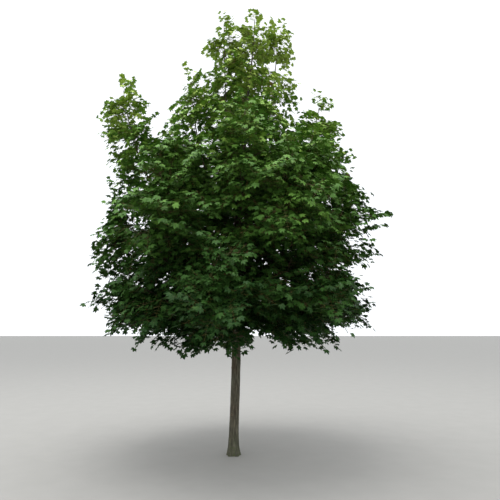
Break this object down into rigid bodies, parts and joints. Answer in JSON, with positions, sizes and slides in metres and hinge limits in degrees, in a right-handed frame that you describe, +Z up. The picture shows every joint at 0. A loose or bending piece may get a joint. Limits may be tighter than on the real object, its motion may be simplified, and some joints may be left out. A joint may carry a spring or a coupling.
{
  "type": "deciduous tree",
  "caption": "Young maple tree in full summer leaf: straight clean trunk with a small root flare, spreading lower boughs and a broad leafy crown that rises in spires.",
  "frame": {"origin": "middle of the flat cut under the trunk, at ground level", "axes": "+Z up the trunk, -Y the front that the picture shows, +X the right seen from the front"},
  "size_m": [4.0231, 4.1554, 6.4007],
  "materials": {
    "bark": "matt grey-brown bark",
    "leaves": "satin green leaves"
  },
  "bodies": {
    "root": {"trunk": "bark", "bough_low_1": "bark", "bough_low_2": "bark", "bough_low_3": "bark", "bough_low_4": "bark", "bough_low_5": "bark", "bough_low_6": "bark", "bough_low_7": "bark", "bough_middle_1": "bark", "bough_middle_2": "bark", "bough_middle_3": "bark", "bough_middle_4": "bark", "bough_middle_5": "bark", "bough_middle_6": "bark", "bough_middle_7": "bark", "bough_left": "bark", "bough_left_front": "bark", "bough_front": "bark", "bough_right_front": "bark", "bough_right": "bark", "bough_right_low": "bark", "bough_back_right": "bark", "bough_back": "bark", "bough_back_left": "bark", "bough_left_inner": "bark", "bough_right_inner": "bark", "bough_back_inner": "bark", "bough_left_upright": "bark", "bough_right_upright": "bark", "foliage_low_1": "leaves", "foliage_low_2": "leaves", "foliage_low_3": "leaves", "foliage_low_4": "leaves", "foliage_low_5": "leaves", "foliage_low_6": "leaves", "foliage_low_7": "leaves", "foliage_middle_1": "leaves", "foliage_middle_2": "leaves", "foliage_middle_3": "leaves", "foliage_middle_4": "leaves", "foliage_middle_5": "leaves", "foliage_middle_6": "leaves", "foliage_middle_7": "leaves", "foliage_left": "leaves", "foliage_left_front": "leaves", "foliage_front": "leaves", "foliage_right_front": "leaves", "foliage_right": "leaves", "foliage_right_low": "leaves", "foliage_back_right": "leaves", "foliage_back": "leaves", "foliage_back_left": "leaves", "foliage_left_inner": "leaves", "foliage_right_inner": "leaves", "foliage_back_inner": "leaves", "foliage_left_upright": "leaves", "foliage_right_upright": "leaves", "foliage_leader": "leaves"}
  },
  "joints": []
}
